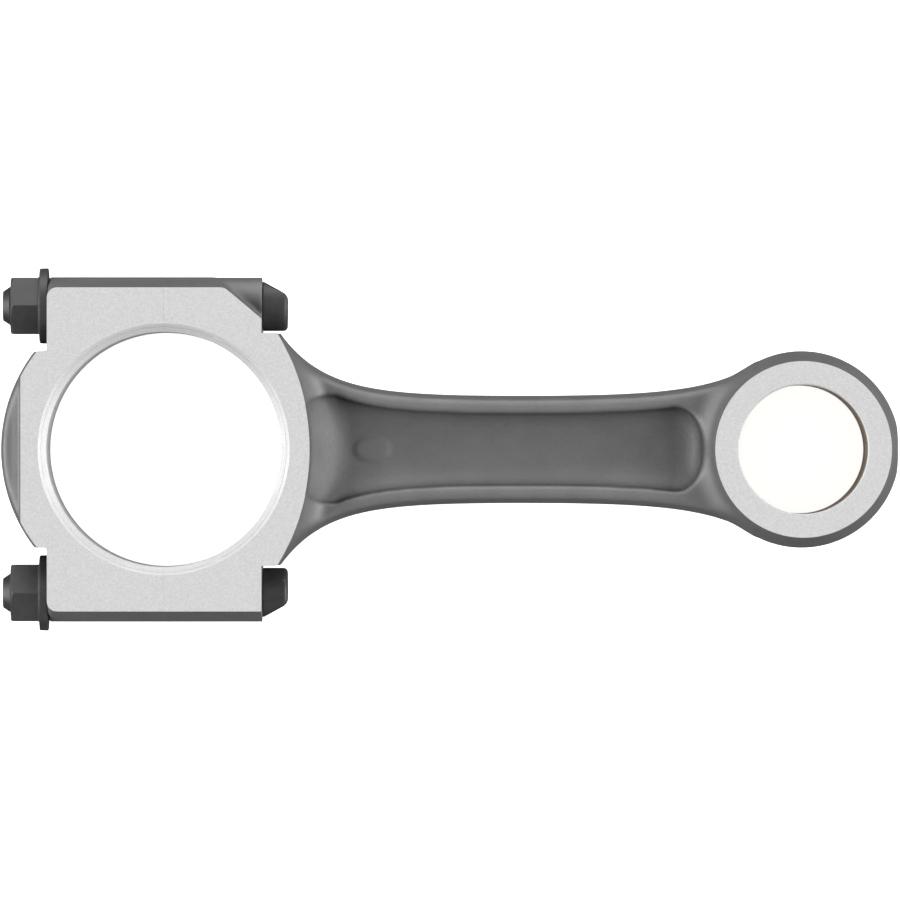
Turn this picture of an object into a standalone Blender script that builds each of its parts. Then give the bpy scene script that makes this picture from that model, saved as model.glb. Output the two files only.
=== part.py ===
"""Connecting rod for a small engine, modelled in Blender 4.5 as its separate pieces.

The forged rod and its bearing cap clamp two bearing shells round the crankpin with
two D-head bolts and two flange nuts, and a bush is pressed into the small-end eye.

The rod lies flat. X runs from the big end to the small end, Y from bolt to bolt and
Z along both bores, with z = 0 on the lower machined faces. The functions work in
millimetres from the big-end bore's axis, and the meshes are made in metres.
"""

import math

import bmesh
import bpy

MM = 0.001

# Driving dimensions, in millimetres.
CENTRES = 192.0  # big-end bore to small-end bore
WIDTH = 38.0  # across the machined faces, along Z
MIDDLE = WIDTH / 2
JOINT_GAP = 0.1  # between the rod and its cap
FIT_GAP = 0.05  # round a pressed or clamped lining
SEAT_GAP = 0.1  # under a bolt head or a nut
OVERCUT = 2.0  # how far a blank or a cutter passes the machined faces

# Big end.
JOURNAL_BORE = 35.3  # radius inside the shells
HOUSING = 36.85  # radius of the bore that holds the shells
BORE_CHAMFER = 37.8  # radius of the 45 degree chamfer at the machined face
BOSS_MIDDLE = 52.05  # half the width over the bolt bosses, at the forging's parting line
BOSS_FACE = 48.6  # the same at the machined face
SHOULDER = 34.95  # half the width of the rod behind the bolt heads
HEAD_SEAT = 29.3
NUT_SEAT = -35.05
BOSS_CORNER = 3.0  # corner radius of the cap's bosses, at the machined face
FACE_ARC = 67.5  # radius of the arc that ends the big end's machined face
FACE_ARC_X = -23.7
FACE_STEP = 0.6  # the small drop at that arc
CROWN = 48.6  # radius of the cap's back
CROWN_X = -1.0
CROWN_DRAFT = 0.6
CROWN_SHOULDER = 29.5
CROWN_CHORD = -43.0  # the cap's back is lower than the machined face beyond this line
CROWN_STEP = 1.5

# Beam.
BEAM_HALF_WIDTH = 16.05
BEAM_HALF_DEPTH = 9.5
BEAM_DRAFT = 1.3
RAIL = 5.3
HALF_WEB = 2.5
POCKET_END = 162.3
POCKET_END_LENGTH = 9.5
POCKET_HALF_WIDTH = 16.3  # at its widest, by the big end
POCKET_WIDEST = 49.6

# Small end.
EYE_MIDDLE = 29.75
EYE_FACE = 26.5
EYE_PAD = 29.2  # the flat pad's distance from the bore's axis
EYE_BORE = 21.65
PIN_BORE = 19.35
OIL_HOLE = 2.5

# Fasteners.
BOLT_Y = 43.3
BOLT_RADIUS = 6.0
BOLT_CLEARANCE = 0.1
BOLT_TIP = 4.1
BOLT_END = -48.6
HEAD_HEIGHT = 7.6
HEAD_RADIUS = 8.0
HEAD_FLAT = 7.6  # from the bolt's axis to the flat that bears on the rod's shoulder
HEAD_SLOPE_SEAT = 7.5  # from the axis to the sloped outer side, at the seat
HEAD_SLOPE_END = 3.3
HEAD_BEVEL = 0.9
BOSS_ROUND = 8.75  # radius of the relieved bolt boss
NUT_ACROSS_FLATS = 17.0
NUT_HEIGHT = 11.4
FLANGE_RADIUS = 11.4
FLANGE_HEIGHT = 2.7

# Shell tangs.
TANG_HEIGHT = 1.0
TANG_LENGTH = 4.0
TANG_WIDTH = 5.0
TANG_Z = 31.5

# Facets round each bore, shared by a lining and its housing so that they stay parallel.
BIG_FACETS = 96
SMALL_FACETS = 64
BOLT_FACETS = 32

FRONT_END = CROWN_X - CROWN
BACK_END = CENTRES + EYE_PAD
BIG_END_X = -(FRONT_END + BACK_END) / 2


def clear_scene():
    for old in list(bpy.data.objects):
        bpy.data.objects.remove(old, do_unlink=True)


def material(name, colour, roughness, metallic):
    made = bpy.data.materials.new(name)
    made.use_nodes = True
    shader = made.node_tree.nodes["Principled BSDF"]
    shader.inputs["Base Color"].default_value = (*colour, 1)
    shader.inputs["Roughness"].default_value = roughness
    shader.inputs["Metallic"].default_value = metallic
    return made


def solid(name, points, faces):
    """An object from points in millimetres, with its faces turned outwards."""
    mesh = bpy.data.meshes.new(name)
    mesh.from_pydata([(x * MM, y * MM, z * MM) for x, y, z in points], [], faces)
    shape = bmesh.new()
    shape.from_mesh(mesh)
    bmesh.ops.recalc_face_normals(shape, faces=shape.faces)
    shape.to_mesh(mesh)
    shape.free()
    made = bpy.data.objects.new(name, mesh)
    bpy.context.scene.collection.objects.link(made)
    return made


def loft(name, rings, closed=False):
    """A solid through rings of equal count: capped at its ends, or closed on itself."""
    count = len(rings[0])
    points = [point for ring in rings for point in ring]
    faces = []
    for first in range(len(rings) - (not closed)):
        second = (first + 1) % len(rings)
        for i in range(count):
            j = (i + 1) % count
            corners = (first * count + i, first * count + j, second * count + j, second * count + i)
            faces.append(corners)
    if not closed:
        faces.append(tuple(range(count)))
        faces.append(tuple(len(points) - count + i for i in range(count)))
    return solid(name, points, faces)


def box(name, low, high):
    rings = []
    for z in (low[2], high[2]):
        rings.append([(low[0], low[1], z), (high[0], low[1], z), (high[0], high[1], z), (low[0], high[1], z)])
    return loft(name, rings)


def turned_z(name, profile, facets, centre_x=0.0):
    """A solid of revolution about a line along Z, from (z, radius) pairs."""
    rings = []
    for z, radius in profile:
        angles = [math.tau * i / facets for i in range(facets)]
        rings.append([(centre_x + radius * math.cos(a), radius * math.sin(a), z) for a in angles])
    return loft(name, rings)


def turned_x(name, profile, facets, centre_y=0.0, centre_z=0.0):
    """A solid of revolution about a line along X, from (x, radius) pairs."""
    rings = []
    for x, radius in profile:
        angles = [math.tau * i / facets for i in range(facets)]
        rings.append([(x, centre_y + radius * math.cos(a), centre_z + radius * math.sin(a)) for a in angles])
    return loft(name, rings)


def combine(target, operation, tool):
    """Applies one Boolean to the target and removes the tool."""
    modifier = target.modifiers.new(tool.name, "BOOLEAN")
    modifier.operation = operation
    modifier.solver = "EXACT"
    modifier.object = tool
    graph = bpy.context.evaluated_depsgraph_get()
    result = bpy.data.meshes.new_from_object(target.evaluated_get(graph))
    target.modifiers.clear()
    target.data = result
    bpy.data.objects.remove(tool, do_unlink=True)


def finish(target, surface, smooth_under=30):
    """Gives a piece its material and smooth shading on its round faces."""
    target.data.materials.clear()
    target.data.materials.append(surface)
    target.data.shade_smooth()
    target.data.set_sharp_from_angle(angle=math.radians(smooth_under))


def arc(centre_x, radius, start, end, steps):
    """Points (x, y) along an arc whose centre lies on the X axis, angles in degrees."""
    points = []
    for i in range(steps + 1):
        a = math.radians(start + (end - start) * i / steps)
        points.append((centre_x + radius * math.cos(a), radius * math.sin(a)))
    return points


def drafted_block(name, outline):
    """A forged block: outline(share) gives its plan, share 0 at the parting line and 1 at the face."""
    past_face = 1 + OVERCUT / MIDDLE
    layers = ((-OVERCUT, past_face), (MIDDLE, 0.0), (WIDTH + OVERCUT, past_face))
    return loft(name, [[(x, y, z) for x, y in outline(share)] for z, share in layers])


def drafted(at_parting, at_face, share):
    return at_parting + (at_face - at_parting) * share


def rod_big_end_outline(share):
    outer = drafted(BOSS_MIDDLE, BOSS_FACE, share)
    reach = math.degrees(math.asin(SHOULDER / FACE_ARC))
    joint = JOINT_GAP / 2
    outline = [(joint, -outer), (HEAD_SEAT, -outer), (HEAD_SEAT, -SHOULDER)]
    outline += arc(FACE_ARC_X, FACE_ARC, -reach, reach, 24)
    outline += [(HEAD_SEAT, SHOULDER), (HEAD_SEAT, outer), (joint, outer)]
    return outline


def cap_outline(share):
    outer = drafted(BOSS_MIDDLE, BOSS_FACE, share)
    corner = drafted(0.3, BOSS_CORNER, share)
    crown = CROWN - CROWN_DRAFT * share
    reach = 180 - math.degrees(math.asin(CROWN_SHOULDER / crown))
    rounded = []
    for i in range(7):
        a = math.radians(90 + 15 * i)
        rounded.append((NUT_SEAT + corner * (1 + math.cos(a)), outer - corner * (1 - math.sin(a))))
    joint = -JOINT_GAP / 2
    upper = [(joint, outer)] + rounded + [(NUT_SEAT, CROWN_SHOULDER)]
    lower = [(x, -y) for x, y in reversed(upper)]
    return upper + arc(CROWN_X, crown, reach, 360 - reach, 32) + lower


def half_width(x):
    """Half the beam's width at the parting line: it flares into the big end and into the eye."""
    flare = 19.1 * math.exp((34.7 - x) / 13.7) + 10.85 * math.exp((x - 179.6) / 15.5)
    return min(BEAM_HALF_WIDTH + flare, SHOULDER)


def past_face_arc(x, y):
    return math.hypot(x - FACE_ARC_X, y) - FACE_ARC


def past_eye(x, y):
    return math.hypot(x - CENTRES, y) - (EYE_FACE + 1.2)


def rise(height, distance, length, power=2):
    """A concave ramp: the full height at distance 0, level from the given length on."""
    return height * max(0.0, 1 - distance / length) ** power


def rail_height(x, y):
    """Height of the beam's rails above the parting line."""
    to_face = MIDDLE - BEAM_HALF_DEPTH
    height = BEAM_HALF_DEPTH + rise(to_face - FACE_STEP, past_face_arc(x, y), 7.5)
    height += rise(3.4, past_eye(x, y), 6.3)
    return min(height, MIDDLE + OVERCUT)


def beam():
    """The blank of the beam, before its two pockets are cut."""
    first, last = 31.0, CENTRES - 12.5
    stations = 40
    across = 12
    rings = []
    for i in range(stations + 1):
        x = (first + last) / 2 - (last - first) / 2 * math.cos(math.pi * i / stations)
        widest = half_width(x)
        top = widest - BEAM_DRAFT - math.exp((x - 179.6) / 12.0)
        ridge = []
        for j in range(across + 1):
            y = top * (2 * j / across - 1)
            ridge.append((x, y, rail_height(x, y)))
        ring = [(x, -widest, MIDDLE)]
        ring += [(x, y, MIDDLE + height) for _, y, height in ridge]
        ring += [(x, widest, MIDDLE)]
        ring += [(x, y, MIDDLE - height) for _, y, height in reversed(ridge)]
        rings.append(ring)
    return loft("beam", rings)


def pocket_floor(x, y, depth):
    """Height of a pocket's floor above the parting line, with its ramp up to the big end."""
    to_face = MIDDLE - HALF_WEB + 0.3
    height = BEAM_HALF_DEPTH - depth + rise(to_face, past_face_arc(x, y), 13.5, 4)
    return min(height, MIDDLE + OVERCUT)


def pocket_half_width(x):
    """Half the width of a pocket, which follows the beam and ends in a half ellipse."""
    before_widest = max(0.0, (POCKET_WIDEST - x) / 7.2)
    narrowest = min(half_width(x) - RAIL, POCKET_HALF_WIDTH - 2.9 * before_widest**2)
    past_straight = max(0.0, (x - (POCKET_END - POCKET_END_LENGTH)) / POCKET_END_LENGTH)
    return narrowest * math.sqrt(max(0.0, 1 - past_straight**2))


def pocket(name, side):
    """The cutter of one pocket: side is 1 for the upper face and -1 for the lower one."""
    first, last = 38.5, POCKET_END - 0.15
    stations = 44
    steps = 14
    rings = []
    for i in range(stations + 1):
        x = (first + last) / 2 - (last - first) / 2 * math.cos(math.pi * i / stations)
        half = pocket_half_width(x)
        end_share = max(0.0, (x - (POCKET_END - POCKET_END_LENGTH)) / POCKET_END_LENGTH)
        depth = (BEAM_HALF_DEPTH - HALF_WEB) * math.sqrt(max(0.0, 1 - end_share**3))
        ring = []
        for j in range(steps + 1):
            share = math.sin(math.pi * (j / steps - 0.5))
            y = half * share
            floor = pocket_floor(x, y, depth)
            wall_top = max(BEAM_HALF_DEPTH, floor)
            height = floor + (wall_top - floor) * abs(share) ** 5
            ring.append((x, y, MIDDLE + side * height))
        above = MIDDLE + side * (MIDDLE + OVERCUT + 1)
        ring += [(x, half, above), (x, -half, above)]
        rings.append(ring)
    return loft(name, rings)


def eye_blank():
    """The small end's drafted ring, with a flat pad on its far side."""
    past_face = 1 + OVERCUT / MIDDLE
    rings = []
    for z, share in ((-OVERCUT, past_face), (MIDDLE, 0.0), (WIDTH + OVERCUT, past_face)):
        radius = drafted(EYE_MIDDLE, EYE_FACE, share)
        points = arc(0.0, radius, 0, 360 - 360 / 72, 71)
        rings.append([(CENTRES + min(x, EYE_PAD), y, z) for x, y in points])
    return loft("eye", rings)


def boss_relief():
    """What is cut from the upper bolt boss beside its head: all but a round boss about the bolt."""
    inner, outer = (18.5, 48.4), (HEAD_SEAT, 39.3)
    slope = (outer[1] - inner[1]) / (outer[0] - inner[0])
    reach_left, reach_right = 8.0, 40.0
    left = (reach_left, inner[1] + slope * (reach_left - inner[0]))
    right = (reach_right, inner[1] + slope * (reach_right - inner[0]))
    plan = [left, right, (reach_right, 62.0), (reach_left, 62.0)]
    wedge = loft("relief", [[(x, y, z) for x, y in plan] for z in (MIDDLE, WIDTH + OVERCUT + 1)])
    round_boss = turned_x("boss", ((0, BOSS_ROUND), (45, BOSS_ROUND)), 48, BOLT_Y, MIDDLE)
    combine(wedge, "DIFFERENCE", round_boss)
    return wedge


def between_faces():
    """The slab between the two machined faces."""
    return box("slab", (-80, -80, 0), (CENTRES + 60, 80, WIDTH))


def housing_cutter():
    """The big-end bore with a 45 degree chamfer at each face."""
    deep = BORE_CHAMFER - HOUSING
    wide = BORE_CHAMFER + OVERCUT
    profile = ((-OVERCUT, wide), (deep, HOUSING), (WIDTH - deep, HOUSING), (WIDTH + OVERCUT, wide))
    return turned_z("housing", profile, BIG_FACETS)


def bolt_holes():
    radius = BOLT_RADIUS + BOLT_CLEARANCE
    for y in (BOLT_Y, -BOLT_Y):
        yield turned_x("bolt_hole", ((-60, radius), (60, radius)), BOLT_FACETS, y, MIDDLE)


def tang_notch(side, z):
    """The notch for a shell's tang, in the rod (side 1) or in the cap (side -1)."""
    clear = 0.15
    ends = sorted((-side, side * (TANG_LENGTH + clear)))
    low = (ends[0], HOUSING - 2, z - TANG_WIDTH / 2 - clear)
    high = (ends[1], HOUSING + TANG_HEIGHT + clear, z + TANG_WIDTH / 2 + clear)
    return box("tang_notch", low, high)


def make_rod():
    rod = drafted_block("rod_body", rod_big_end_outline)
    combine(rod, "UNION", beam())
    combine(rod, "UNION", eye_blank())
    combine(rod, "INTERSECT", between_faces())
    combine(rod, "DIFFERENCE", pocket("upper_pocket", 1))
    combine(rod, "DIFFERENCE", pocket("lower_pocket", -1))
    combine(rod, "DIFFERENCE", boss_relief())
    combine(rod, "DIFFERENCE", housing_cutter())
    for hole in bolt_holes():
        combine(rod, "DIFFERENCE", hole)
    combine(rod, "DIFFERENCE", tang_notch(1, TANG_Z))
    eye_bore = ((-OVERCUT, EYE_BORE), (WIDTH + OVERCUT, EYE_BORE))
    combine(rod, "DIFFERENCE", turned_z("eye_bore", eye_bore, SMALL_FACETS, CENTRES))
    combine(rod, "DIFFERENCE", oil_hole_cutter())
    return rod


def make_cap():
    cap = drafted_block("bearing_cap", cap_outline)
    combine(cap, "INTERSECT", between_faces())
    for low, high in ((-OVERCUT, CROWN_STEP), (WIDTH - CROWN_STEP, WIDTH + OVERCUT)):
        combine(cap, "DIFFERENCE", box("step", (-80, -40, low), (CROWN_CHORD, 40, high)))
    combine(cap, "DIFFERENCE", housing_cutter())
    for hole in bolt_holes():
        combine(cap, "DIFFERENCE", hole)
    combine(cap, "DIFFERENCE", tang_notch(-1, WIDTH - TANG_Z))
    return cap


def make_shell(name, side, tang_z):
    """Half of the big-end lining: side 1 is in the rod and -1 in the cap."""
    back = HOUSING - FIT_GAP
    back_z = BORE_CHAMFER - back
    bore_z = BORE_CHAMFER - JOURNAL_BORE
    profile = ((JOURNAL_BORE, bore_z), (back, back_z), (back, WIDTH - back_z), (JOURNAL_BORE, WIDTH - bore_z))
    steps = BIG_FACETS // 2
    rings = []
    for i in range(steps + 1):
        a = math.pi * (i / steps - 0.5)
        across = math.cos(a) if 0 < i < steps else 0.0
        ring = []
        for radius, z in profile:
            x = max(radius * across, JOINT_GAP / 2)
            ring.append((side * x, radius * math.sin(a), z))
        rings.append(ring)
    shell = loft(name, rings)
    ends = sorted((side * JOINT_GAP / 2, side * TANG_LENGTH))
    low = (ends[0], back - 0.8, tang_z - TANG_WIDTH / 2)
    high = (ends[1], back + TANG_HEIGHT, tang_z + TANG_WIDTH / 2)
    combine(shell, "UNION", box("tang", low, high))
    return shell


def oil_hole_cutter():
    middle = CENTRES + 20
    profile = ((middle - 10, OIL_HOLE), (middle + 20, OIL_HOLE))
    return turned_x("oil_hole", profile, 20, 0, MIDDLE)


def make_bush():
    """The small-end bush, flush with the machined faces, with a small chamfer in its bore."""
    outer = EYE_BORE - FIT_GAP
    chamfer = 0.4
    profile = (
        (PIN_BORE + chamfer, 0),
        (outer, 0),
        (outer, WIDTH),
        (PIN_BORE + chamfer, WIDTH),
        (PIN_BORE, WIDTH - chamfer),
        (PIN_BORE, chamfer),
    )
    rings = []
    for i in range(SMALL_FACETS):
        a = math.tau * i / SMALL_FACETS
        rings.append([(CENTRES + r * math.cos(a), r * math.sin(a), z) for r, z in profile])
    bush = loft("small_end_bush", rings, closed=True)
    combine(bush, "DIFFERENCE", oil_hole_cutter())
    return bush


def bolt_mesh():
    """A bolt along X on its own axis, with the flat of its D-head towards -Y."""
    seat = HEAD_SEAT + SEAT_GAP
    tip = BOLT_RADIUS - BOLT_TIP
    head_end = seat + HEAD_HEIGHT
    shank = ((BOLT_END, BOLT_TIP), (BOLT_END + tip, BOLT_RADIUS), (seat + 1, BOLT_RADIUS))
    bolt = turned_x("bolt", shank, BOLT_FACETS)
    bevelled = HEAD_RADIUS - HEAD_BEVEL
    profile = ((seat, HEAD_RADIUS), (head_end - HEAD_BEVEL, HEAD_RADIUS), (head_end, bevelled))
    head = turned_x("head", profile, 48)
    low, high = (seat - 1, -20, -20), (head_end + 1, -HEAD_FLAT, 20)
    combine(head, "DIFFERENCE", box("flat", low, high))
    slope = (HEAD_SLOPE_END - HEAD_SLOPE_SEAT) / HEAD_HEIGHT
    plan = [(seat - 5, HEAD_SLOPE_SEAT - 5 * slope), (head_end + 5, HEAD_SLOPE_END + 5 * slope)]
    plan += [(head_end + 5, 20), (seat - 5, 20)]
    combine(head, "DIFFERENCE", loft("slope", [[(x, y, z) for x, y in plan] for z in (-20, 20)]))
    combine(bolt, "UNION", head)
    return bolt


def nut_mesh():
    """A hexagon flange nut along X on its own axis, with a corner towards +Z."""
    seat = NUT_SEAT - SEAT_GAP
    end = seat - NUT_HEIGHT
    corner = NUT_ACROSS_FLATS / math.sqrt(3)
    hexagon = []
    for x in (end, seat - 0.5):
        angles = [math.radians(30 + 60 * i) for i in range(6)]
        hexagon.append([(x, corner * math.cos(a), corner * math.sin(a)) for a in angles])
    nut = loft("nut", hexagon)
    chamfer_radius = NUT_ACROSS_FLATS / 2 - 0.25
    chamfer = (corner + 1 - chamfer_radius) * math.tan(math.radians(30))
    profile = ((end, chamfer_radius), (end + chamfer, corner + 1), (seat, corner + 1))
    combine(nut, "INTERSECT", turned_x("chamfer", profile, 48))
    bevel = 0.4
    face = seat - FLANGE_HEIGHT
    profile = (
        (face, FLANGE_RADIUS - bevel),
        (face + bevel, FLANGE_RADIUS),
        (seat - bevel, FLANGE_RADIUS),
        (seat, FLANGE_RADIUS - bevel),
    )
    combine(nut, "UNION", turned_x("flange", profile, 48))
    hole = BOLT_RADIUS + BOLT_CLEARANCE
    combine(nut, "DIFFERENCE", turned_x("thread", ((end - 5, hole), (seat + 5, hole)), BOLT_FACETS))
    return nut


def place_pair(first, names, surface, parent):
    """Puts a fastener on each bolt axis, the second one turned over about X."""
    finish(first, surface)
    second = bpy.data.objects.new(names[1], first.data)
    bpy.context.scene.collection.objects.link(second)
    first.name = names[0]
    first.location = (0, BOLT_Y * MM, MIDDLE * MM)
    second.location = (0, -BOLT_Y * MM, MIDDLE * MM)
    second.rotation_euler = (math.pi, 0, 0)
    first.parent = parent
    second.parent = parent


def main():
    clear_scene()
    assembly = bpy.data.objects.new("connecting_rod", None)
    bpy.context.scene.collection.objects.link(assembly)
    assembly.location = (BIG_END_X * MM, 0, 0)

    forged = material("forged_steel", (0.155, 0.155, 0.158), 0.55, 0.6)
    cap_forged = material("cap_forged_steel", (0.16, 0.16, 0.163), 0.55, 0.6)
    lining = material("shell_lining", (0.62, 0.62, 0.63), 0.35, 0.9)
    bronze = material("bush_bronze", (0.55, 0.42, 0.26), 0.35, 0.9)
    black_bolt = material("bolt_black_oxide", (0.045, 0.045, 0.048), 0.45, 0.7)
    black_nut = material("nut_black_oxide", (0.05, 0.05, 0.053), 0.45, 0.7)

    pieces = (
        (make_rod(), forged),
        (make_cap(), cap_forged),
        (make_shell("upper_shell", 1, TANG_Z), lining),
        (make_shell("lower_shell", -1, WIDTH - TANG_Z), lining),
        (make_bush(), bronze),
    )
    for piece, surface in pieces:
        finish(piece, surface)
        piece.parent = assembly
    place_pair(bolt_mesh(), ("left_bolt", "right_bolt"), black_bolt, assembly)
    place_pair(nut_mesh(), ("left_nut", "right_nut"), black_nut, assembly)


main()
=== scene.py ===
"""Looks of the connecting rod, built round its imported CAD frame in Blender 4.5.

The forging is shaped as a smooth field and turned into a mesh, and then machined by
Booleans, as the real one is forged and then machined. The functions work in
millimetres from the big-end bore's axis and the rod's middle plane.
"""

import math

import bpy
import numpy as np
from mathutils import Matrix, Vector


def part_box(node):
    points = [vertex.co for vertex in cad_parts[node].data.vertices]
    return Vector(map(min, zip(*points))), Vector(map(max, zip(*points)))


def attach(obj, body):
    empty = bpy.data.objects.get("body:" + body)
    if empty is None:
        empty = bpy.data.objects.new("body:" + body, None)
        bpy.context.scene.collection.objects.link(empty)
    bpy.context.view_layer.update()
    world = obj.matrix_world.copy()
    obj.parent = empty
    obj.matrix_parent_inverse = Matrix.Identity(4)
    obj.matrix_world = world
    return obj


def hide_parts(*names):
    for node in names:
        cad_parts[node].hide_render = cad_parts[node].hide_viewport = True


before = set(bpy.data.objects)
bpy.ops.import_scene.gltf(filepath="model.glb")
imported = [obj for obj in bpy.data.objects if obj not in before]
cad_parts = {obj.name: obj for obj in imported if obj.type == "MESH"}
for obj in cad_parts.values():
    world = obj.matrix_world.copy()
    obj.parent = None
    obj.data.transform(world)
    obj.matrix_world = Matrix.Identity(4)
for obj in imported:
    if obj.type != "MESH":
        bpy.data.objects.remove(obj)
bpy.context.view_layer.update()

MM = 0.001

# Places and sizes that the frame gives.
ROD_LOW, ROD_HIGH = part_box("rod_body")
CAP_LOW, CAP_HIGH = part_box("bearing_cap")
UPPER_LOW, UPPER_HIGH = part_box("upper_shell")
LOWER_LOW, LOWER_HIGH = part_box("lower_shell")
BUSH_LOW, BUSH_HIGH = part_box("small_end_bush")
BOLT_LOW, BOLT_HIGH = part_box("left_bolt")
NUT_LOW, NUT_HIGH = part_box("left_nut")

ORIGIN_X = (UPPER_LOW.x + LOWER_HIGH.x) / 2
ORIGIN_Z = (ROD_LOW.z + ROD_HIGH.z) / 2
HALF_DEPTH = (ROD_HIGH.z - ROD_LOW.z) / 2 / MM
SHELL_BACK = (ORIGIN_X - LOWER_LOW.x) / MM
BOLT_Y = (NUT_LOW.y + NUT_HIGH.y) / 2 / MM
BOLT_END = (BOLT_LOW.x - ORIGIN_X) / MM
HEAD_END = (BOLT_HIGH.x - ORIGIN_X) / MM
CROWN_END = (CAP_LOW.x - ORIGIN_X) / MM
NUT_END = (NUT_LOW.x - ORIGIN_X) / MM
NUT_FACE = (NUT_HIGH.x - ORIGIN_X) / MM
EYE_X = ((BUSH_LOW.x + BUSH_HIGH.x) / 2 - ORIGIN_X) / MM
BUSH_BACK = (BUSH_HIGH.y - BUSH_LOW.y) / 2 / MM
BOSS_MIDDLE = CAP_HIGH.y / MM
EYE_PAD = (ROD_HIGH.x - ORIGIN_X) / MM - EYE_X

# The forging's own dimensions, in millimetres. A blend is how far a rounded edge spreads.
CAP_SEAT = -35.05
HEAD_SEAT = 29.3
HEAD_ROOM_END = 50.0
SHOULDER = 34.95
BOSS_DRAFT = 0.18
BOSS_CORNER = 3.0
BOSS_CORNER_AT_PARTING = 0.3
BOSS_OVERHANG = 0.8  # stock on the blank's head seats, milled away later
FACE_ARC = 67.5
FACE_ARC_X = -23.7
FACE_STEP = 0.6
CROWN_X = -1.0
CROWN = CROWN_X - CROWN_END
CROWN_DRAFT = 0.07
CROWN_SHOULDER = 29.5
CROWN_CHORD = -43.0
CROWN_STEP = 0.9
CROWN_SLOPE = 0.34
CROWN_SLOPE_LENGTH = 3.0
CROWN_BLEND = 1.6
BEAM_START = 30.0
BEAM_END = EYE_X - 14.5
BEAM_HALF_WIDTH = 16.05
BIG_FLARE = 19.1
BIG_FLARE_X = 34.7
BIG_FLARE_LENGTH = 13.7
SMALL_FLARE = 10.85
SMALL_FLARE_X = 179.6
SMALL_FLARE_LENGTH = 15.5
BEAM_HALF_DEPTH = 9.5
BEAM_DRAFT = 0.137
BEAM_BLEND = 2.4
RAIL = 5.3
RAIL_RAMP_LENGTH = 7.5
RAIL_EYE_RAMP = 3.4
RAIL_EYE_RAMP_LENGTH = 6.3
HALF_WEB = 2.5
POCKET_END = 162.3
POCKET_END_LENGTH = 9.5
POCKET_HALF_WIDTH = 16.3
POCKET_WIDEST = 49.6
POCKET_NARROWING = 2.9
POCKET_NARROWING_LENGTH = 7.2
POCKET_ROUNDNESS = 2.15
POCKET_EDGE = 0.985  # the share of the pocket where its wall turns straight
POCKET_WALL_SLOPE = 80.0
POCKET_BLEND = 1.4
POCKET_RAMP = 9.0
POCKET_RAMP_LENGTH = 13.0
EYE_MIDDLE = 29.75
EYE_FACE = 26.5
EYE_FILLET = 1.2
EYE_BLEND = 1.5
BODY_BLEND = 0.8
PLATE_X = 62.5
PLATE_HALF = (5.4, 3.6)
PLATE_HEIGHT = 0.5
PLATE_FOOT = 1.12  # as a share of the plate's half sizes
PLATE_SLOPE = 0.24

# Bores.
JOURNAL_BORE = 35.3
HOUSING = 36.85
BORE_CHAMFER = 37.8
EYE_BORE = BUSH_BACK + 0.01
PIN_BORE = 19.35
BUSH_CHAMFER = 0.4
OIL_HOLE = 2.5
BOLT_HOLE = 6.1
BOLT_HOLE_REACH = 60.0
TANG_LENGTH = 4.0
TANG_HEIGHT = 1.0
TANG_WIDTH = 5.0
TANG_Z = 12.5
TANG_CLEARANCE = 0.15
TANG_ROOT = 0.8  # how far the tang reaches into its shell

# Fasteners.
BOLT_RADIUS = 6.0
BOLT_TIP = 4.4
TIP_SLOPE = 0.68
TIP_PAST_CAD = 0.3  # the worked tip stands this much further out than its CAD solid
THREAD_PITCH = 1.25
THREAD_DEPTH = 0.35
THREAD_START = -30.0
THREAD_RINGS = 150
THREAD_RUNOUT = 0.5
SHANK_OVERLAP = 1.0
HEAD_RADIUS = 8.0
HEAD_FLAT = 7.6
HEAD_HEIGHT = 7.6
HEAD_SLOPE_SEAT = 7.5
HEAD_SLOPE_END = 3.3
HEAD_SIDE_BLEND = 0.6
HEAD_END_BLEND = 1.5
HEAD_SEAT_BLEND = 0.5
BOSS_ROUND = 8.75
RELIEF_INNER = (18.5, 48.4)
RELIEF_OUTER = (HEAD_SEAT, 39.3)
RELIEF_END = HEAD_SEAT + 1.0
RELIEF_BLEND = 1.8
NUT_ACROSS_FLATS = 17.0
NUT_CHAMFER = 0.1
NUT_CHAMFER_ANGLE = math.radians(30)
NUT_CHAMFER_BLEND = 0.2
NUT_BLEND = 0.3
NUT_COUNTERSINK = 0.7
FLANGE_RADIUS = 11.4
FLANGE_HEIGHT = 2.7
FLANGE_TAPER = 0.03
FLANGE_FILLET = 0.4

JOINT = 0.015  # half the gap that shows between the rod and its cap
GRINDING = 1.5  # what is left on the blank, to be ground off each face
FORGING_STEP = 0.7
FORGING_GRID_X = (-52.0, 223.0)
FORGING_GRID_Y = 54.0
FORGING_GRID_Z = 30.5 * FORGING_STEP  # the half step keeps grid points off the parting line
FASTENER_STEP = 0.25
FASTENER_MARGIN = 1.0
NUT_GRID = 12.5
BIG_SEGMENTS = 192
SMALL_SEGMENTS = 144
BOLT_SEGMENTS = 64
OIL_SEGMENTS = 40
OVERCUT = 3.0
AROUND_LOW = (-80.0, -80.0, -40.0)
AROUND_HIGH = (260.0, 80.0, 40.0)
SMOOTH_UNDER = math.radians(32)

FORGED, GROUND, TURNED, MILLED = range(4)


# Meshes.


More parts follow.
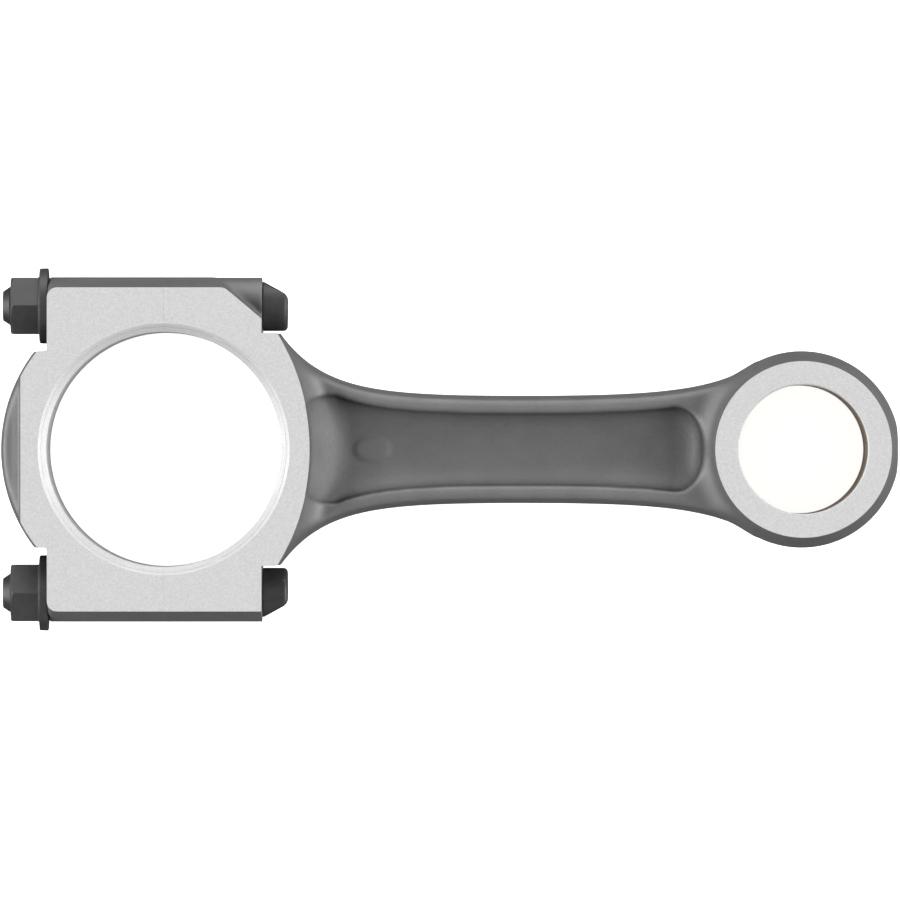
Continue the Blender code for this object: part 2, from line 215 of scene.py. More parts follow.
def make_object(name, points, faces):
    """An object from points in millimetres and faces of equal corner count."""
    points = np.asarray(points, dtype=np.float64) * MM + (ORIGIN_X, 0.0, ORIGIN_Z)
    faces = np.asarray(faces, dtype=np.int32)
    corners = faces.shape[1]
    mesh = bpy.data.meshes.new(name)
    mesh.vertices.add(len(points))
    mesh.vertices.foreach_set("co", points.ravel())
    mesh.loops.add(faces.size)
    mesh.loops.foreach_set("vertex_index", faces.ravel())
    mesh.polygons.add(len(faces))
    mesh.polygons.foreach_set("loop_start", np.arange(0, faces.size, corners, dtype=np.int32))
    mesh.update(calc_edges=True)
    made = bpy.data.objects.new(name, mesh)
    bpy.context.scene.collection.objects.link(made)
    return made


def solid(name, points, faces):
    """An object from points in millimetres and faces of any corner count."""
    mesh = bpy.data.meshes.new(name)
    placed = [(x * MM + ORIGIN_X, y * MM, z * MM + ORIGIN_Z) for x, y, z in points]
    mesh.from_pydata(placed, [], faces)
    mesh.update()
    made = bpy.data.objects.new(name, mesh)
    bpy.context.scene.collection.objects.link(made)
    return made


def signed_volume(points, faces):
    """Six times the volume inside the faces, negative when they are inside out."""
    total = 0.0
    for face in faces:
        first = np.array(points[face[0]])
        for i in range(1, len(face) - 1):
            total += np.dot(first, np.cross(points[face[i]], points[face[i + 1]]))
    return total


def loft(name, rings, closed=False):
    """A solid through rings of equal count: capped at its ends, or closed on itself."""
    count = len(rings[0])
    points = [tuple(point) for ring in rings for point in ring]
    faces = []
    for first in range(len(rings) - (not closed)):
        second = (first + 1) % len(rings)
        for i in range(count):
            j = (i + 1) % count
            corners = (first * count + i, first * count + j, second * count + j, second * count + i)
            faces.append(corners)
    if not closed:
        faces.append(tuple(reversed(range(count))))
        faces.append(tuple(len(points) - count + i for i in range(count)))
    if signed_volume(points, faces) < 0:
        faces = [tuple(reversed(face)) for face in faces]
    return solid(name, points, faces)


def box(name, low, high):
    outline = ((low[0], low[1]), (high[0], low[1]), (high[0], high[1]), (low[0], high[1]))
    rings = [[(x, y, z) for x, y in outline] for z in (low[2], high[2])]
    return loft(name, rings)


def slab(name, axis, start, end):
    """A box that reaches past the whole rod, except from start to end along one axis."""
    low = list(AROUND_LOW)
    high = list(AROUND_HIGH)
    low[axis] = start
    high[axis] = end
    return box(name, low, high)


def turned_z(name, profile, segments, centre_x=0.0, closed=False):
    """A solid of revolution about a line along Z, from (z, radius) pairs."""
    angles = [math.tau * i / segments for i in range(segments)]
    rings = []
    for z, radius in profile:
        rings.append([(centre_x + radius * math.cos(a), radius * math.sin(a), z) for a in angles])
    return loft(name, rings, closed)


def turned_x(name, profile, segments, centre_y=0.0):
    """A solid of revolution about a line along X, from (x, radius) pairs."""
    angles = [math.tau * i / segments for i in range(segments)]
    rings = []
    for x, radius in profile:
        rings.append([(x, centre_y + radius * math.cos(a), radius * math.sin(a)) for a in angles])
    return loft(name, rings)


def combine(target, operation, tool, finish=0):
    """Applies one Boolean; the surface that the tool leaves takes the finish's material index."""
    for surface in target.data.materials:
        tool.data.materials.append(surface)
    tool.data.polygons.foreach_set("material_index", [finish] * len(tool.data.polygons))
    modifier = target.modifiers.new(tool.name, "BOOLEAN")
    modifier.operation = operation
    modifier.solver = "MANIFOLD"
    modifier.object = tool
    graph = bpy.context.evaluated_depsgraph_get()
    result = bpy.data.meshes.new_from_object(target.evaluated_get(graph))
    target.modifiers.clear()
    if not result.polygons:
        raise RuntimeError(f"the Boolean {tool.name} left nothing of {target.name}")
    target.data = result
    require_closed(target)
    bpy.data.objects.remove(tool, do_unlink=True)


def require_closed(made):
    """Stops on a mesh with an open or a shared edge, because a Boolean on it would go wrong."""
    counts = np.zeros(len(made.data.edges), dtype=np.int32)
    edges = np.empty(len(made.data.loops), dtype=np.int32)
    made.data.loops.foreach_get("edge_index", edges)
    np.add.at(counts, edges, 1)
    wrong = int((counts != 2).sum())
    if wrong:
        raise RuntimeError(f"{made.name} has {wrong} edges that don't join exactly two faces")


def surface_net(name, field, low, high, step):
    """Meshes the field's zero surface: one point in each cell that it passes through."""
    axes = [np.arange(start, end + step, step) for start, end in zip(low, high)]
    grid = np.meshgrid(*axes, indexing="ij", sparse=True)
    values = field(*grid).astype(np.float32)
    inside = values < 0
    shape = [size - 1 for size in values.shape]

    def corner(array, i, j, k):
        return array[i : i + shape[0], j : j + shape[1], k : k + shape[2]]

    corners = [(i, j, k) for i in (0, 1) for j in (0, 1) for k in (0, 1)]
    count = sum(corner(inside, *c).astype(np.int8) for c in corners)
    active = (count > 0) & (count < 8)
    cells = np.argwhere(active)
    index = np.full(shape, -1, dtype=np.int32)
    index[active] = np.arange(len(cells), dtype=np.int32)

    total = np.zeros((len(cells), 3))
    number = np.zeros(len(cells))
    for start in corners:
        for axis in range(3):
            if start[axis]:
                continue
            end = list(start)
            end[axis] = 1
            at_start = values[tuple((cells + start).T)]
            at_end = values[tuple((cells + end).T)]
            crossed = (at_start < 0) != (at_end < 0)
            along = at_start[crossed] / (at_start[crossed] - at_end[crossed])
            total[crossed] += start
            total[crossed, axis] += along
            number[crossed] += 1
    points = np.array(low) + step * (cells + total / number[:, None])

    quads = []
    for axis in range(3):
        order = (axis, (axis + 1) % 3, (axis + 2) % 3)
        turned = inside.transpose(order)
        cell_index = index.transpose(order)
        crossing = turned[:-1, 1:-1, 1:-1] != turned[1:, 1:-1, 1:-1]
        i, j, k = np.nonzero(crossing)
        outward = turned[i, j + 1, k + 1]
        around = ((j, k), (j + 1, k), (j + 1, k + 1), (j, k + 1))
        ring = np.stack([cell_index[i, b, c] for b, c in around], axis=1)
        quads.append(np.where(outward[:, None], ring, ring[:, ::-1]))
    made = make_object(name, points, np.concatenate(quads))
    require_closed(made)
    return made


# Fields, negative inside the metal.


def smooth_max(a, b, blend):
    share = np.maximum(blend - np.abs(a - b), 0.0) / blend
    return np.maximum(a, b) + share * share * blend / 4


def smooth_min(a, b, blend):
    return -smooth_max(-a, -b, blend)


def rounded_corner(a, b, radius):
    """The intersection of two half spaces, with a true arc at their corner."""
    over_a = np.maximum(a + radius, 0.0)
    over_b = np.maximum(b + radius, 0.0)
    return np.hypot(over_a, over_b) - radius + np.minimum(np.maximum(a + radius, b + radius), 0.0)


def half_width(x):
    """Half the beam's width at the parting line: it flares into the big end and into the eye."""
    big_flare = BIG_FLARE * np.exp((BIG_FLARE_X - x) / BIG_FLARE_LENGTH)
    small_flare = SMALL_FLARE * np.exp((x - SMALL_FLARE_X) / SMALL_FLARE_LENGTH)
    return np.minimum(BEAM_HALF_WIDTH + (big_flare + small_flare), SHOULDER)


def rise(height, distance, length):
    """A concave ramp: the full height at distance 0, level from the given length on."""
    return height * np.maximum(0.0, 1 - distance / length) ** 2


def height_field(a, height):
    """How far a point stands above a height map, measured across its slope."""
    slope_x, slope_y = np.gradient(height[:, :, 0], FORGING_STEP)
    steepness = np.sqrt(1 + slope_x**2 + slope_y**2)[:, :, None]
    return (a - height) / steepness


def pocket_share(x, y):
    """How far a point is across the pocket: 0 on its middle line and 1 at its edge."""
    before_widest = np.maximum(0.0, (POCKET_WIDEST - x) / POCKET_NARROWING_LENGTH)
    narrowed = POCKET_HALF_WIDTH - POCKET_NARROWING * before_widest**2
    half = np.minimum(half_width(x) - RAIL, narrowed)
    past_straight = np.maximum(0.0, x - (POCKET_END - POCKET_END_LENGTH)) / POCKET_END_LENGTH
    return np.hypot(y / np.maximum(half, 1.0), past_straight)


def plate(x, y):
    """The small raised oval on the web, which stands where a forging carries its mark."""
    reach = np.hypot((x - PLATE_X) / PLATE_HALF[0], y / PLATE_HALF[1])
    return PLATE_HEIGHT * np.clip((PLATE_FOOT - reach) / PLATE_SLOPE, 0.0, 1.0)


def beam_field(x, y, a):
    """The I-section beam with its two pockets: a is the distance from the parting line."""
    past_arc = np.hypot(x - FACE_ARC_X, y) - FACE_ARC
    past_eye = np.hypot(x - EYE_X, y) - (EYE_FACE + EYE_FILLET)
    to_face = HALF_DEPTH - BEAM_HALF_DEPTH
    rail = BEAM_HALF_DEPTH + rise(to_face - FACE_STEP, past_arc, RAIL_RAMP_LENGTH)
    rail = rail + rise(RAIL_EYE_RAMP, past_eye, RAIL_EYE_RAMP_LENGTH)
    rail = np.minimum(rail, HALF_DEPTH + OVERCUT)
    tilt = math.cos(math.atan(BEAM_DRAFT))
    wall = (np.abs(y) - half_width(x) + BEAM_DRAFT * a) * tilt
    beam = smooth_max(wall, height_field(a, rail), BEAM_BLEND)
    beam = np.maximum(beam, np.maximum(BEAM_START - x, x - BEAM_END))

    across = pocket_share(x, y)
    share = np.minimum(across, POCKET_EDGE)
    bowl = 1 - (1 - share**POCKET_ROUNDNESS) ** (1 / POCKET_ROUNDNESS)
    floor = HALF_WEB + rise(POCKET_RAMP, past_arc, POCKET_RAMP_LENGTH)
    wall_height = np.maximum(rail - floor, 0.0) * bowl + POCKET_WALL_SLOPE * (across - share)
    floor = np.minimum(floor + wall_height + plate(x, y), HALF_DEPTH + OVERCUT)
    return smooth_max(beam, height_field(a, floor), POCKET_BLEND)


def big_end_field(x, y, a):
    """The two bolt bosses, the neck that the face arc bounds, and the cap's crown."""
    outer = np.abs(y) - (BOSS_MIDDLE - BOSS_DRAFT * a)
    growth = BOSS_CORNER - BOSS_CORNER_AT_PARTING
    corner = BOSS_CORNER_AT_PARTING + growth * np.minimum(a / HALF_DEPTH, 1.0)
    bosses = rounded_corner(outer, CAP_SEAT - x, corner)
    bosses = np.maximum(bosses, x - (HEAD_SEAT + BOSS_OVERHANG))
    neck = np.maximum(np.hypot(x - FACE_ARC_X, y) - FACE_ARC, np.abs(y) - SHOULDER)
    neck = np.maximum(neck, -x)
    crown = np.hypot(x - CROWN_X, y) - (CROWN - CROWN_DRAFT * a)
    past_chord = CROWN_CHORD - x
    down = CROWN_SLOPE * np.clip(past_chord, 0.0, CROWN_SLOPE_LENGTH)
    above_step = a - (HALF_DEPTH - CROWN_STEP - down)
    crown = np.where(past_chord < 0, crown, smooth_max(crown, above_step, CROWN_BLEND))
    crown = np.maximum(crown, np.minimum(above_step, past_chord))
    crown = np.maximum(crown, np.maximum(np.abs(y) - CROWN_SHOULDER, x))
    return np.minimum(np.minimum(bosses, neck), crown)


def relief_field(x, y, z):
    """Positive where the upper boss is cut back beside its bolt head."""
    run = RELIEF_OUTER[0] - RELIEF_INNER[0]
    fall = RELIEF_INNER[1] - RELIEF_OUTER[1]
    length = math.hypot(run, fall)
    diagonal = ((x - RELIEF_INNER[0]) * fall + (y - RELIEF_INNER[1]) * run) / length
    round_boss = np.hypot(y - BOLT_Y, z) - BOSS_ROUND
    beside_head = np.minimum(z, RELIEF_END - x)
    return np.minimum(smooth_min(diagonal, round_boss, RELIEF_BLEND), beside_head)


def forging_field(x, y, z):
    """The whole forging, which is alike above and below its parting line but for the relief."""
    a = np.abs(z)
    draft = (EYE_MIDDLE - EYE_FACE) / HALF_DEPTH
    tilt = math.cos(math.atan(draft))
    eye = (np.hypot(x - EYE_X, y) - (EYE_MIDDLE - draft * a)) * tilt
    eye = smooth_max(eye, x - (EYE_X + EYE_PAD), BODY_BLEND)
    body = smooth_min(big_end_field(x, y, a), beam_field(x, y, a), BODY_BLEND)
    body = smooth_min(body, eye, EYE_BLEND)
    body = np.maximum(body, a - (HALF_DEPTH + GRINDING))
    return smooth_max(body, relief_field(x, y, z), BODY_BLEND)


def head_field(x, y, z):
    """The D-head on its own axis, with the flat of its D towards -Y."""
    seat = HEAD_END - HEAD_HEIGHT
    slope = (HEAD_SLOPE_END - HEAD_SLOPE_SEAT) / HEAD_HEIGHT
    tilt = math.cos(math.atan(slope))
    outer = (y - HEAD_SLOPE_SEAT - slope * (x - seat)) * tilt
    disc = smooth_max(np.hypot(y, z) - HEAD_RADIUS, outer, HEAD_SIDE_BLEND)
    disc = smooth_max(disc, -HEAD_FLAT - y, HEAD_SIDE_BLEND)
    disc = smooth_max(disc, x - HEAD_END, HEAD_END_BLEND)
    return smooth_max(disc, seat - x, HEAD_SEAT_BLEND)


def nut_field(x, y, z):
    """The collared nut on its own axis, with a corner towards +Z."""
    flats = np.abs(y)
    for angle in (60, 120):
        turn = math.radians(angle)
        flats = np.maximum(flats, np.abs(y * math.cos(turn) + z * math.sin(turn)))
    radius = np.hypot(y, z)
    chamfer = (radius - (NUT_ACROSS_FLATS / 2 - NUT_CHAMFER)) * math.sin(NUT_CHAMFER_ANGLE)
    chamfer = chamfer - (x - NUT_END) * math.cos(NUT_CHAMFER_ANGLE)
    hexagon = smooth_max(flats - NUT_ACROSS_FLATS / 2, chamfer, NUT_CHAMFER_BLEND)
    hexagon = np.maximum(hexagon, x - NUT_FACE)
    hexagon = smooth_max(hexagon, NUT_END - x, NUT_BLEND)
    tapered = radius - FLANGE_RADIUS + FLANGE_TAPER * (NUT_FACE - x)
    collar = smooth_max(tapered, x - NUT_FACE, NUT_BLEND)
    collar = smooth_max(collar, NUT_FACE - FLANGE_HEIGHT - x, NUT_BLEND)
    nut = smooth_min(hexagon, collar, FLANGE_FILLET)
    countersink = (BOLT_HOLE + NUT_COUNTERSINK - (x - NUT_END)) - radius
    return np.maximum(nut, countersink)


# Pieces.


def machined_blank(name, steels):
    """The forging between its two ground faces, with its bores and bolt holes."""
    low = (FORGING_GRID_X[0], -FORGING_GRID_Y, -FORGING_GRID_Z)
    high = (FORGING_GRID_X[1], FORGING_GRID_Y, FORGING_GRID_Z)
    blank = surface_net(name, forging_field, low, high, FORGING_STEP)
    for surface in steels:
        blank.data.materials.append(surface)
    combine(blank, "DIFFERENCE", slab("upper_face", 2, HALF_DEPTH, AROUND_HIGH[2]), GROUND)
    combine(blank, "DIFFERENCE", slab("lower_face", 2, AROUND_LOW[2], -HALF_DEPTH), GROUND)
    deep = BORE_CHAMFER - HOUSING
    wide = BORE_CHAMFER + OVERCUT
    profile = (
        (-HALF_DEPTH - OVERCUT, wide),
        (-HALF_DEPTH + deep, HOUSING),
        (HALF_DEPTH - deep, HOUSING),
        (HALF_DEPTH + OVERCUT, wide),
    )
    combine(blank, "DIFFERENCE", turned_z("housing", profile, BIG_SEGMENTS), TURNED)
    line = ((-BOLT_HOLE_REACH, BOLT_HOLE), (BOLT_HOLE_REACH, BOLT_HOLE))
    for side in (1, -1):
        hole = turned_x("bolt_hole", line, BOLT_SEGMENTS, side * BOLT_Y)
        combine(blank, "DIFFERENCE", hole, TURNED)
    return blank


def tang_notch(side):
    """The notch for a shell's tang, in the rod (side 1) or in the cap (side -1)."""
    ends = sorted((-side * OVERCUT, side * (TANG_LENGTH + TANG_CLEARANCE)))
    reach = TANG_WIDTH / 2 + TANG_CLEARANCE
    low = (ends[0], HOUSING - OVERCUT, side * TANG_Z - reach)
    high = (ends[1], HOUSING + TANG_HEIGHT + TANG_CLEARANCE, side * TANG_Z + reach)
    return box("tang_notch", low, high)


def make_rod(steels):
    rod = machined_blank("rod_body_look", steels)
    combine(rod, "DIFFERENCE", slab("cap_side", 0, AROUND_LOW[0], JOINT), MILLED)
    for start, end in ((SHOULDER, AROUND_HIGH[1]), (AROUND_LOW[1], -SHOULDER)):
        low = (HEAD_SEAT, start, AROUND_LOW[2])
        high = (HEAD_ROOM_END, end, AROUND_HIGH[2])
        combine(rod, "DIFFERENCE", box("head_seat", low, high), MILLED)
    combine(rod, "DIFFERENCE", tang_notch(1), MILLED)
    reach = HALF_DEPTH + OVERCUT
    bore = turned_z("eye_bore", ((-reach, EYE_BORE), (reach, EYE_BORE)), SMALL_SEGMENTS, EYE_X)
    combine(rod, "DIFFERENCE", bore, TURNED)
    combine(rod, "DIFFERENCE", oil_hole(), TURNED)
    return rod


def make_cap(steels):
    cap = machined_blank("bearing_cap_look", steels)
    combine(cap, "DIFFERENCE", slab("rod_side", 0, -JOINT, AROUND_HIGH[0]), MILLED)
    combine(cap, "DIFFERENCE", tang_notch(-1), MILLED)
    return cap


def oil_hole():
    """The cutter of the oil hole, from inside the pin's bore out through the end of the eye."""
    start = EYE_X + PIN_BORE - OVERCUT
    end = EYE_X + EYE_PAD + OVERCUT
    return turned_x("oil_hole", ((start, OIL_HOLE), (end, OIL_HOLE)), OIL_SEGMENTS)


def make_shell(name, side):
    """Half of the big-end lining: side 1 is in the rod and -1 in the cap."""
    back_z = HALF_DEPTH - (BORE_CHAMFER - SHELL_BACK)
    bore_z = HALF_DEPTH - (BORE_CHAMFER - JOURNAL_BORE)
    profile = (
        (JOURNAL_BORE, -bore_z),
        (SHELL_BACK, -back_z),
        (SHELL_BACK, back_z),
        (JOURNAL_BORE, bore_z),
    )
    steps = BIG_SEGMENTS // 2
    rings = []
    for i in range(steps + 1):
        angle = math.pi * (i / steps - 0.5)
        across = math.cos(angle) if 0 < i < steps else 0.0
        ring = []
        for radius, z in profile:
            ring.append((side * max(radius * across, JOINT), radius * math.sin(angle), z))
        rings.append(ring)
    shell = loft(name, rings)
    ends = sorted((side * JOINT, side * TANG_LENGTH))
    low = (ends[0], SHELL_BACK - TANG_ROOT, side * TANG_Z - TANG_WIDTH / 2)
    high = (ends[1], SHELL_BACK + TANG_HEIGHT, side * TANG_Z + TANG_WIDTH / 2)
    combine(shell, "UNION", box("tang", low, high))
    return shell


def make_bush():
    profile = (
        (-HALF_DEPTH, PIN_BORE + BUSH_CHAMFER),
        (-HALF_DEPTH, BUSH_BACK),
        (HALF_DEPTH, BUSH_BACK),
        (HALF_DEPTH, PIN_BORE + BUSH_CHAMFER),
        (HALF_DEPTH - BUSH_CHAMFER, PIN_BORE),
        (-HALF_DEPTH + BUSH_CHAMFER, PIN_BORE),
    )
    bush = turned_z("small_end_bush_look", profile, SMALL_SEGMENTS, EYE_X, closed=True)
    combine(bush, "DIFFERENCE", oil_hole())
    return bush


def threaded_shank():
    """The bolt's shank: plain under the head, with a rolled thread at the nut."""
    end = BOLT_END - TIP_PAST_CAD
    seat = HEAD_END - HEAD_HEIGHT
    places = list(np.linspace(end, THREAD_START, THREAD_RINGS))
    places += [THREAD_START + THREAD_RUNOUT, seat + SHANK_OVERLAP]
    rings = []
    for x in places:
        ring = []
        for i in range(BOLT_SEGMENTS):
            angle = math.tau * i / BOLT_SEGMENTS
            turn = (x / THREAD_PITCH - i / BOLT_SEGMENTS) % 1
            groove = THREAD_DEPTH * (1 - abs(2 * turn - 1)) if x <= THREAD_START else 0.0
            radius = min(BOLT_RADIUS - groove, BOLT_TIP + TIP_SLOPE * (x - end))
            ring.append((x, radius * math.cos(angle), radius * math.sin(angle)))
        rings.append(ring)
    return loft("shank", rings)


def place_on_bolt_axis(piece, side):
    """Moves a fastener's mesh to its bolt axis, turned over about X on the -Y side."""
    count = len(piece.data.vertices)
    points = np.empty(count * 3, np.float32)
    piece.data.vertices.foreach_get("co", points)
    points = points.reshape(-1, 3)
    points[:, 1] = side * points[:, 1] + side * BOLT_Y * MM
    points[:, 2] = side * (points[:, 2] - ORIGIN_Z) + ORIGIN_Z
    piece.data.vertices.foreach_set("co", points.ravel())
    piece.data.update()


def make_bolt(name, side):
    reach = HEAD_RADIUS + FASTENER_MARGIN
    low = (HEAD_END - HEAD_HEIGHT - FASTENER_MARGIN, -reach, -reach)
    high = (HEAD_END + FASTENER_MARGIN, reach, reach)
    bolt = surface_net(name, head_field, low, high, FASTENER_STEP)
    combine(bolt, "UNION", threaded_shank())
    place_on_bolt_axis(bolt, side)
    return bolt


def make_nut(name, side):
    low = (NUT_END - FASTENER_MARGIN, -NUT_GRID, -NUT_GRID)
    high = (NUT_FACE + FASTENER_MARGIN, NUT_GRID, NUT_GRID)
    nut = surface_net(name, nut_field, low, high, FASTENER_STEP)
    hole = ((NUT_END - OVERCUT, BOLT_HOLE), (NUT_FACE + OVERCUT, BOLT_HOLE))
    combine(nut, "DIFFERENCE", turned_x("thread", hole, BOLT_SEGMENTS))
    place_on_bolt_axis(nut, side)
    return nut


# Materials.

CONVEX = (0.53, 0.62)  # the range of Pointiness that counts as an edge
# Recesses get painted shade across this range of ambient occlusion.
PAINTED_SHADE_RANGE = (0.52, 0.92)  # the range of ambient occlusion that counts as a recess


class Surface:
    """A Principled material built up one layer of detail at a time."""

    def __init__(self, name, metallic, specular):
        self.made = bpy.data.materials.new(name)
        self.made.use_nodes = True
        self.tree = self.made.node_tree
        self.shader = self.tree.nodes["Principled BSDF"]
        self.shader.inputs["Metallic"].default_value = metallic
        self.shader.inputs["Specular IOR Level"].default_value = specular
        self.place = self.tree.nodes.new("ShaderNodeTexCoord").outputs["Object"]

    def link(self, output, socket):
        self.tree.links.new(output, socket)

    def noise(self, grain_mm, stretch=(1, 1, 1), detail=3.0):
        """Noise whose grain is about this many millimetres, drawn out along an axis by its stretch."""
        mapping = self.tree.nodes.new("ShaderNodeMapping")
        mapping.inputs["Scale"].default_value = [1 / (grain_mm * MM * s) for s in stretch]
        self.link(self.place, mapping.inputs["Vector"])
        texture = self.tree.nodes.new("ShaderNodeTexNoise")
        texture.inputs["Scale"].default_value = 1.0
        texture.inputs["Detail"].default_value = detail
        self.link(mapping.outputs["Vector"], texture.inputs["Vector"])
        return texture.outputs["Fac"]

    def spread(self, value, low, high, source=(0.3, 0.7)):
        """Maps a value from its source range to the given one."""
        node = self.tree.nodes.new("ShaderNodeMapRange")
        node.inputs["From Min"].default_value = source[0]
        node.inputs["From Max"].default_value = source[1]
        node.inputs["To Min"].default_value = low
        node.inputs["To Max"].default_value = high
        self.link(value, node.inputs["Value"])
        return node.outputs["Result"]

    def mix(self, share, first, second):
        node = self.tree.nodes.new("ShaderNodeMix")
        node.data_type = "RGBA"
        self.link(share, node.inputs["Factor"])
        for socket, colour in ((node.inputs["A"], first), (node.inputs["B"], second)):
            if isinstance(colour, tuple):
                socket.default_value = (*colour, 1)
            else:
                self.link(colour, socket)
        return node.outputs["Result"]

    def worn_edges(self, colour, bare, strength):
        """Brightens convex edges, where handling rubs the surface bare."""
        pointiness = self.tree.nodes.new("ShaderNodeNewGeometry").outputs["Pointiness"]
        return self.mix(self.spread(pointiness, 0.0, strength, CONVEX), colour, bare)

    def painted_recess_shade(self, colour, dark, reach_mm):
        """Paints shade into the colour of what is hemmed in by metal within reach: darker the more it is
        occluded.
        """
        node = self.tree.nodes.new("ShaderNodeAmbientOcclusion")
        node.only_local = True
        node.samples = 8
        node.inputs["Distance"].default_value = reach_mm * MM
        return self.mix(self.spread(node.outputs["AO"], 1.0, 0.0, PAINTED_SHADE_RANGE), colour, dark)

    def bump(self, heights):
        """Stacks (height, depth in millimetres) layers of bump."""
        normal = None
        for height, depth in heights:
            node = self.tree.nodes.new("ShaderNodeBump")
            node.inputs["Distance"].default_value = depth * MM
            self.link(height, node.inputs["Height"])
            if normal is not None:
                self.link(normal, node.inputs["Normal"])
            normal = node.outputs["Normal"]
        self.link(normal, self.shader.inputs["Normal"])

    def colour(self, output):
        self.link(output, self.shader.inputs["Base Color"])

    def roughness(self, output):
        self.link(output, self.shader.inputs["Roughness"])


def grey(level, warmth=0.0):
    """A grey of this level, or with some warmth a bronze."""
    return (level * (1 + warmth), level, level * (1 - warmth))


def forged_material(name, level):
    """A shot-blasted forging: mottled scale, a fine blasted grain, rubbed edges and painted shade in its
    recesses.
    """
    made = Surface(name, metallic=0.62, specular=0.3)
    mottle = made.noise(9.0, detail=4.0)
    grain = made.noise(0.55, detail=2.0)
    scale = made.mix(made.spread(mottle, 0.0, 1.0), grey(level * 0.92), grey(level * 1.08))
    blasted = made.mix(made.spread(grain, 0.0, 0.35), scale, grey(level * 1.5))
    # Painted shade: ambient occlusion darkens the colour in the pockets and along the walls.
    with_painted_shade = made.painted_recess_shade(blasted, grey(level * 0.1), 20.0)
    made.colour(made.worn_edges(with_painted_shade, grey(level * 2.2), 0.4))
    made.roughness(made.spread(grain, 0.52, 0.68))
    made.bump(((made.noise(3.0), 0.05), (grain, 0.045)))
    return made.made


def cut_material(name, level, lay, roughness, metallic=0.4, warmth=0.0):
    """Cut or ground steel: a fine speckle over faint tool marks that run along the lay."""
    made = Surface(name, metallic, specular=0.25)
    speckle = made.noise(0.45, detail=2.0)
    marks = made.noise(0.25, lay, detail=1.0)
    base = made.mix(made.spread(speckle, 0.0, 1.0), grey(level * 0.88, warmth), grey(level * 1.1, warmth))
    made.colour(made.mix(made.spread(marks, 0.0, 0.3), base, grey(level * 0.85, warmth)))
    made.roughness(made.spread(marks, roughness - 0.06, roughness + 0.06))
    made.bump(((marks, 0.006), (speckle, 0.006)))
    return made.made


def oxide_material(name, level):
    """Black-oxided steel: an uneven dark film, worn bright along its edges."""
    made = Surface(name, metallic=0.5, specular=0.4)
    film = made.noise(4.0, detail=4.0)
    grain = made.noise(0.3, detail=2.0)
    base = made.mix(made.spread(film, 0.0, 1.0), grey(level * 0.85), grey(level * 1.15))
    made.colour(made.worn_edges(base, grey(level * 4.0), 0.6))
    made.roughness(made.spread(film, 0.4, 0.55))
    made.bump(((grain, 0.012),))
    return made.made


def dress(piece, materials, nodes):
    """Gives a finished piece its materials, hides the frame's parts that it stands for and hangs it on
    the root body.
    """
    slots = piece.data.materials
    for index, surface in enumerate(materials):
        if index < len(slots):
            slots[index] = surface
        else:
            slots.append(surface)
    piece.data.shade_smooth()
    piece.data.set_sharp_from_angle(angle=SMOOTH_UNDER)
    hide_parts(*nodes)
    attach(piece, "root")


def paint_bore(piece, index, centre_x, radius):
    """Gives the faces of a bore, which look at its axis, their own material."""
    mesh = piece.data
    for polygon in mesh.polygons:
        x = polygon.center.x - ORIGIN_X - centre_x * MM
        distance = math.hypot(x, polygon.center.y)
        inward = -(polygon.normal.x * x + polygon.normal.y * polygon.center.y)
        if distance < (radius + 0.3) * MM and inward > 0.8 * distance:
            polygon.material_index = index


# Studio. Its lengths are in metres, but the camera's lens and sensor are in millimetres.

FLOOR_REACH = 6.0
FLOOR_GREY = 0.86
FLOOR_GLOW = 0.8
LIGHT_ELEVATION = math.radians(14)
LIGHT_SPREAD = math.radians(50)
ROOM_GLOW = 0.8
GLOW_BELOW_FLOOR = 0.15
HORIZON_BLUR = 0.04
CAMERA_PLACE = (0.00012, -0.00018, 3.205)
CAMERA_LENS = 422.3
CAMERA_SENSOR = 36.0
CAMERA_FAR = 20.0


def make_floor():
    mesh = bpy.data.meshes.new("floor")
    around = ((-1, -1), (1, -1), (1, 1), (-1, 1))
    corners = [(x * FLOOR_REACH, y * FLOOR_REACH, 0) for x, y in around]
    mesh.from_pydata(corners, [], [(0, 1, 2, 3)])
    floor = bpy.data.objects.new("floor", mesh)
    bpy.context.scene.collection.objects.link(floor)
    pale = bpy.data.materials.new("pale_floor")
    pale.use_nodes = True
    shader = pale.node_tree.nodes["Principled BSDF"]
    shader.inputs["Base Color"].default_value = (FLOOR_GREY, FLOOR_GREY, FLOOR_GREY, 1)
    shader.inputs["Roughness"].default_value = 0.9
    shader.inputs["Specular IOR Level"].default_value = 0.1
    shader.inputs["Emission Color"].default_value = (1, 1, 1, 1)
    shader.inputs["Emission Strength"].default_value = FLOOR_GLOW
    mesh.materials.append(pale)
    # The overexposed floor would otherwise light the rod's sides from below.
    floor.visible_diffuse = False
    floor.visible_glossy = False


def make_light(name, azimuth, strength):
    """A broad soft light: azimuth 0 is on the +X side and 90 on the +Y side."""
    data = bpy.data.lights.new(name, "SUN")
    data.energy = strength * math.pi
    data.angle = LIGHT_SPREAD
    light = bpy.data.objects.new(name, data)
    light.rotation_euler = (0, math.pi / 2 - LIGHT_ELEVATION, math.radians(azimuth))
    bpy.context.scene.collection.objects.link(light)


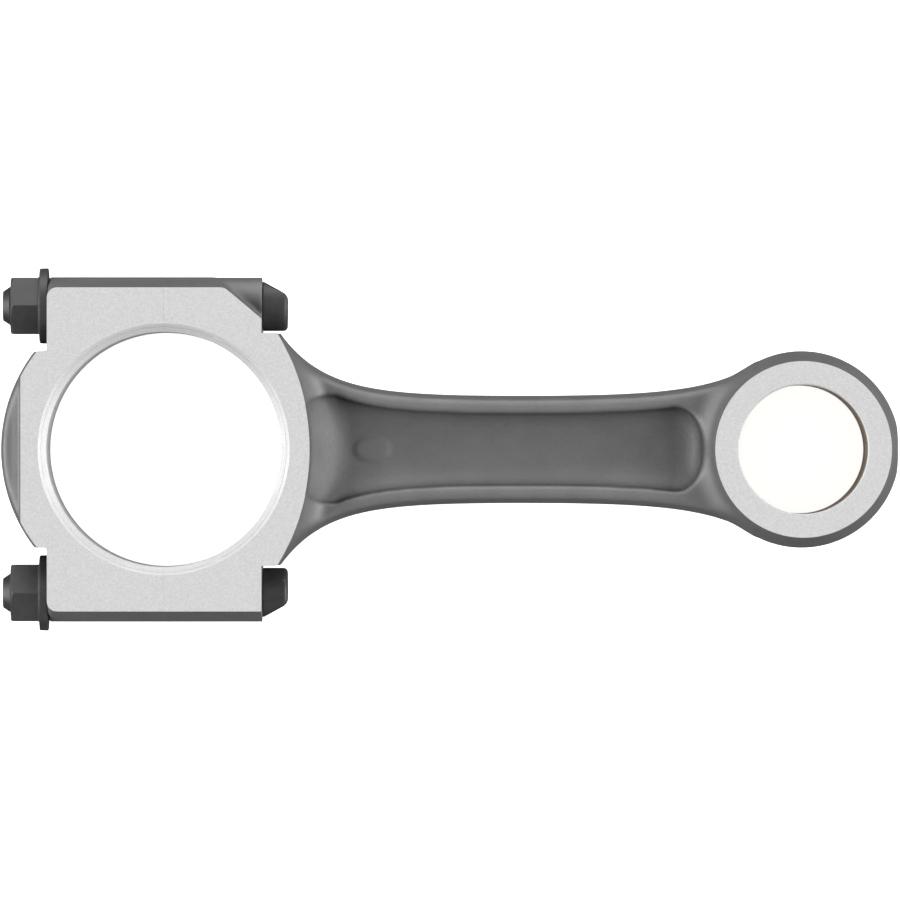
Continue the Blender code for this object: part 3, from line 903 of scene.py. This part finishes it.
def make_world():
    """An even white room, dim below the floor."""
    world = bpy.data.worlds.new("studio")
    world.use_nodes = True
    tree = world.node_tree
    place = tree.nodes.new("ShaderNodeTexCoord")
    split = tree.nodes.new("ShaderNodeSeparateXYZ")
    tree.links.new(place.outputs["Generated"], split.inputs["Vector"])
    strength = tree.nodes.new("ShaderNodeMapRange")
    strength.inputs["From Min"].default_value = -HORIZON_BLUR
    strength.inputs["From Max"].default_value = 0.0
    strength.inputs["To Min"].default_value = GLOW_BELOW_FLOOR
    strength.inputs["To Max"].default_value = ROOM_GLOW
    tree.links.new(split.outputs["Z"], strength.inputs["Value"])
    tree.links.new(strength.outputs["Result"], tree.nodes["Background"].inputs["Strength"])
    tree.nodes["Background"].inputs["Color"].default_value = (1, 1, 1, 1)
    bpy.context.scene.world = world


def make_studio():
    make_floor()
    make_light("right_softbox", 0, 1.3)
    make_light("left_softbox", 180, 1.3)
    make_light("top_softbox", 90, 0.65)
    make_world()
    bpy.context.scene.view_settings.view_transform = "Standard"


def make_camera():
    data = bpy.data.cameras.new("camera")
    data.lens = CAMERA_LENS
    data.sensor_width = CAMERA_SENSOR
    data.clip_end = CAMERA_FAR
    camera = bpy.data.objects.new("camera", data)
    camera.location = CAMERA_PLACE
    bpy.context.scene.collection.objects.link(camera)
    bpy.context.scene.camera = camera


def main():
    forged = forged_material("forged_steel", 0.14)
    ground = cut_material("ground_face", 0.455, (6, 1, 1), 0.62, metallic=0.25)
    turned = cut_material("turned_steel", 0.46, (30, 30, 1), 0.52, metallic=0.2)
    milled = cut_material("milled_steel", 0.36, (1, 30, 30), 0.4)
    lining = cut_material("bearing_lining", 0.6, (30, 30, 1), 0.4)
    bronze = cut_material("bush_bronze", 0.36, (30, 30, 1), 0.3, metallic=0.6, warmth=0.32)
    bolt_black = oxide_material("bolt_black_oxide", 0.040)
    nut_black = oxide_material("nut_black_oxide", 0.050)

    steels = (forged, ground, turned, milled)
    dress(make_rod(steels), steels, ["rod_body"])
    dress(make_cap(steels), steels, ["bearing_cap"])
    for name, side in (("upper_shell", 1), ("lower_shell", -1)):
        shell = make_shell(name + "_look", side)
        dress(shell, (turned, lining), [name])
        paint_bore(shell, 1, 0.0, JOURNAL_BORE)
    bush = make_bush()
    dress(bush, (ground, bronze), ["small_end_bush"])
    paint_bore(bush, 1, EYE_X, PIN_BORE)
    for name, side in (("left", 1), ("right", -1)):
        bolt = make_bolt(name + "_bolt_look", side)
        dress(bolt, (bolt_black,), [name + "_bolt"])
        nut = make_nut(name + "_nut_look", side)
        dress(nut, (nut_black,), [name + "_nut"])

    make_studio()
    make_camera()


main()
